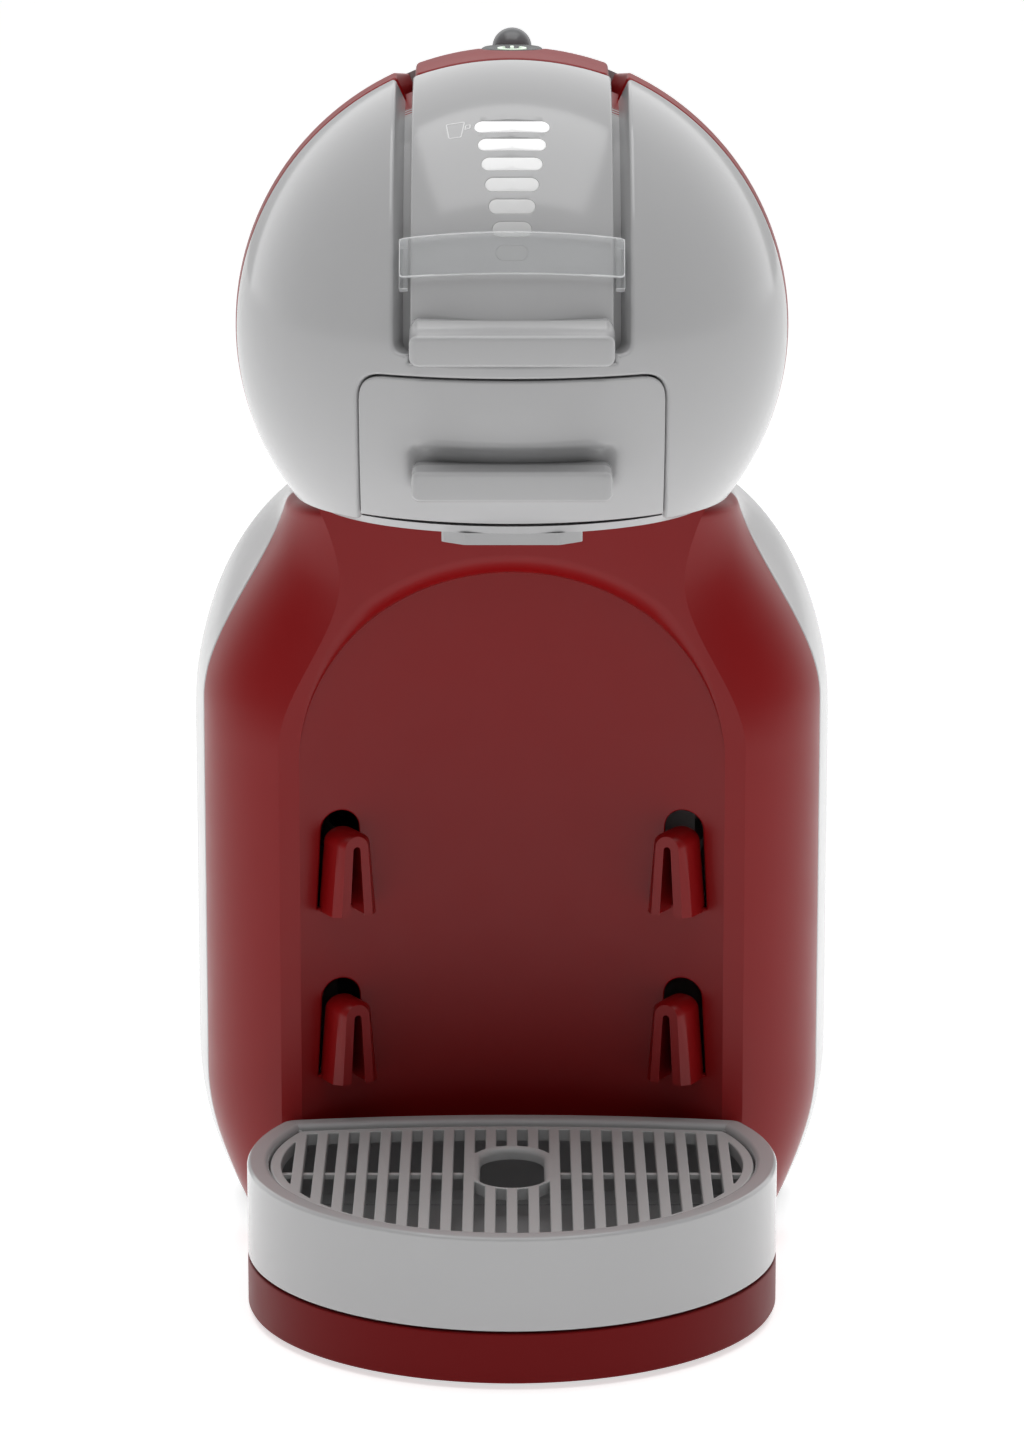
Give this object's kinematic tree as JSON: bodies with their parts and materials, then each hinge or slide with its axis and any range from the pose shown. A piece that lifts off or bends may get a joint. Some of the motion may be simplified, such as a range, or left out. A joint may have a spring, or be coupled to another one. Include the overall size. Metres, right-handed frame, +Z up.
{
  "type": "pod coffee machine",
  "caption": "Compact pod coffee machine: ball-shaped head with lift-up lever, capsule drawer and clear volume slider, waisted body, round drip tray, lift-off rear water tank.",
  "frame": {"origin": "on the table, under the middle of the machine's box", "axes": "+Z up, -Y the front with the drip tray, +X to the right seen from the front"},
  "size_m": [0.16, 0.24, 0.304],
  "materials": {
    "red_shell": "glossy moulded dark red plastic",
    "light_grey": "glossy moulded light grey plastic",
    "grey_gloss": "glossy moulded mid grey plastic",
    "grey_satin": "satin moulded grey plastic",
    "dark_plastic": "matt black moulded plastic",
    "white_plastic": "natural white acetal",
    "blue_plastic": "blue acetal",
    "rubber": "black rubber",
    "steel": "stainless steel",
    "cast_aluminium": "die-cast aluminium",
    "brass": "machined brass",
    "ceramic_white": "white ceramic-filled housing",
    "circuit_board": "green solder resist",
    "silicone": "translucent silicone hose",
    "orange_silicone": "orange silicone",
    "light_lens": "frosted light pipe",
    "button_grey": "glossy dark grey plastic",
    "ball_grey": "glossy grey plastic",
    "clear_plastic": "clear polycarbonate",
    "tank_plastic": "smoky clear plastic"
  },
  "bodies": {
    "housing": {"base_plinth": "red_shell", "bottom_plate": "dark_plastic", "rubber_feet": "rubber", "front_shell": "red_shell", "side_cover_left": "light_grey", "side_cover_right": "light_grey", "rear_cover": "light_grey", "head_bezel": "grey_gloss", "head_hood": "red_shell", "head_rear_cover": "grey_gloss", "head_underside": "grey_gloss", "chassis": "dark_plastic", "hinge_pin": "steel", "drawer_rails": "white_plastic", "guide_posts": "steel", "thermoblock": "cast_aluminium", "thermal_fuse": "ceramic_white", "pump": "dark_plastic", "pump_mounts": "rubber", "flow_meter": "white_plastic", "hot_cold_valve": "brass", "main_board": "circuit_board", "board_parts": "dark_plastic", "lever_switch": "dark_plastic", "water_hoses": "silicone", "tank_dock": "dark_plastic", "dock_seal": "rubber", "cord_gland": "rubber", "case_screws": "steel"},
    "lever": {"lever_front": "grey_gloss", "lever_cap": "red_shell", "lever_frame": "dark_plastic", "light_bars": "light_lens", "display_board": "circuit_board", "button_spring": "steel", "selector_seat": "dark_plastic"},
    "button": {"power_button": "button_grey"},
    "selector": {"selector_ball": "ball_grey"},
    "slider": {"volume_slider": "clear_plastic"},
    "drawer": {"drawer_front": "grey_gloss", "drawer_frame": "dark_plastic", "capsule_holder": "dark_plastic"},
    "brew_unit": {"brew_plate": "dark_plastic", "needle": "steel", "brew_seal": "orange_silicone"},
    "tray": {"drip_tray": "grey_gloss"},
    "grid": {"drip_grid": "grey_satin"},
    "tank": {"water_tank": "tank_plastic", "tank_valve": "white_plastic", "valve_spring": "steel"},
    "lid": {"tank_lid": "light_grey"},
    "plunger": {"valve_plunger": "rubber"},
    "rotor": {"flow_rotor": "blue_plastic"},
    "piston": {"pump_piston": "steel"}
  },
  "joints": [
    {"name": "lever_hinge", "type": "hinge", "parent": "housing", "child": "lever", "pos_m": [0, 0.022, 0.279], "axis": [-1, 0, 0], "range_deg": [0, 45]},
    {"name": "power_button_press", "type": "slide", "parent": "lever", "child": "button", "axis": [0, 0, -1], "range_m": [0, 0.0015], "stiffness_N_per_m": 300, "deforming": ["button_spring"]},
    {"name": "selector_tilt", "type": "hinge", "parent": "lever", "child": "selector", "pos_m": [0, -0.013, 0.29], "axis": [0, 1, 0], "range_deg": [-20, 20], "stiffness_Nm_per_rad": 0.05},
    {"name": "volume_slide", "type": "hinge", "parent": "lever", "child": "slider", "pos_m": [0, -0.034, 0.236], "axis": [-1, 0, 0], "range_deg": [0, 29.4]},
    {"name": "drawer_slide", "type": "slide", "parent": "housing", "child": "drawer", "axis": [0, -1, 0], "range_m": [0, 0.075]},
    {"name": "brew_lift", "type": "slide", "parent": "housing", "child": "brew_unit", "axis": [0, 0, 1], "range_m": [0, 0.008]},
    {"name": "tray_slide", "type": "slide", "parent": "housing", "child": "tray", "axis": [0, -1, 0], "range_m": [0, 0.135]},
    {"name": "grid_lift", "type": "slide", "parent": "tray", "child": "grid", "axis": [0, 0, 1], "range_m": [0, 0.03]},
    {"name": "tank_lift", "type": "slide", "parent": "housing", "child": "tank", "axis": [0, 0, 1], "range_m": [0, 0.24]},
    {"name": "lid_hinge", "type": "hinge", "parent": "tank", "child": "lid", "pos_m": [0, 0.1174, 0.2289], "axis": [-1, 0, 0], "range_deg": [0, 100]},
    {"name": "valve_travel", "type": "slide", "parent": "tank", "child": "plunger", "axis": [0, 0, 1], "range_m": [0, 0.003], "stiffness_N_per_m": 100, "deforming": ["valve_spring"]},
    {"name": "rotor_spin", "type": "hinge", "parent": "housing", "child": "rotor", "pos_m": [0, 0.036, 0.03], "axis": [0, 0, 1], "continuous": true},
    {"name": "piston_stroke", "type": "slide", "parent": "housing", "child": "piston", "axis": [0, 0, 1], "range_m": [-0.003, 0.003], "stiffness_N_per_m": 600}
  ],
  "couplings": [
    {"joint": "brew_lift", "follows": "lever_hinge", "m_per_rad": 0.0101}
  ]
}
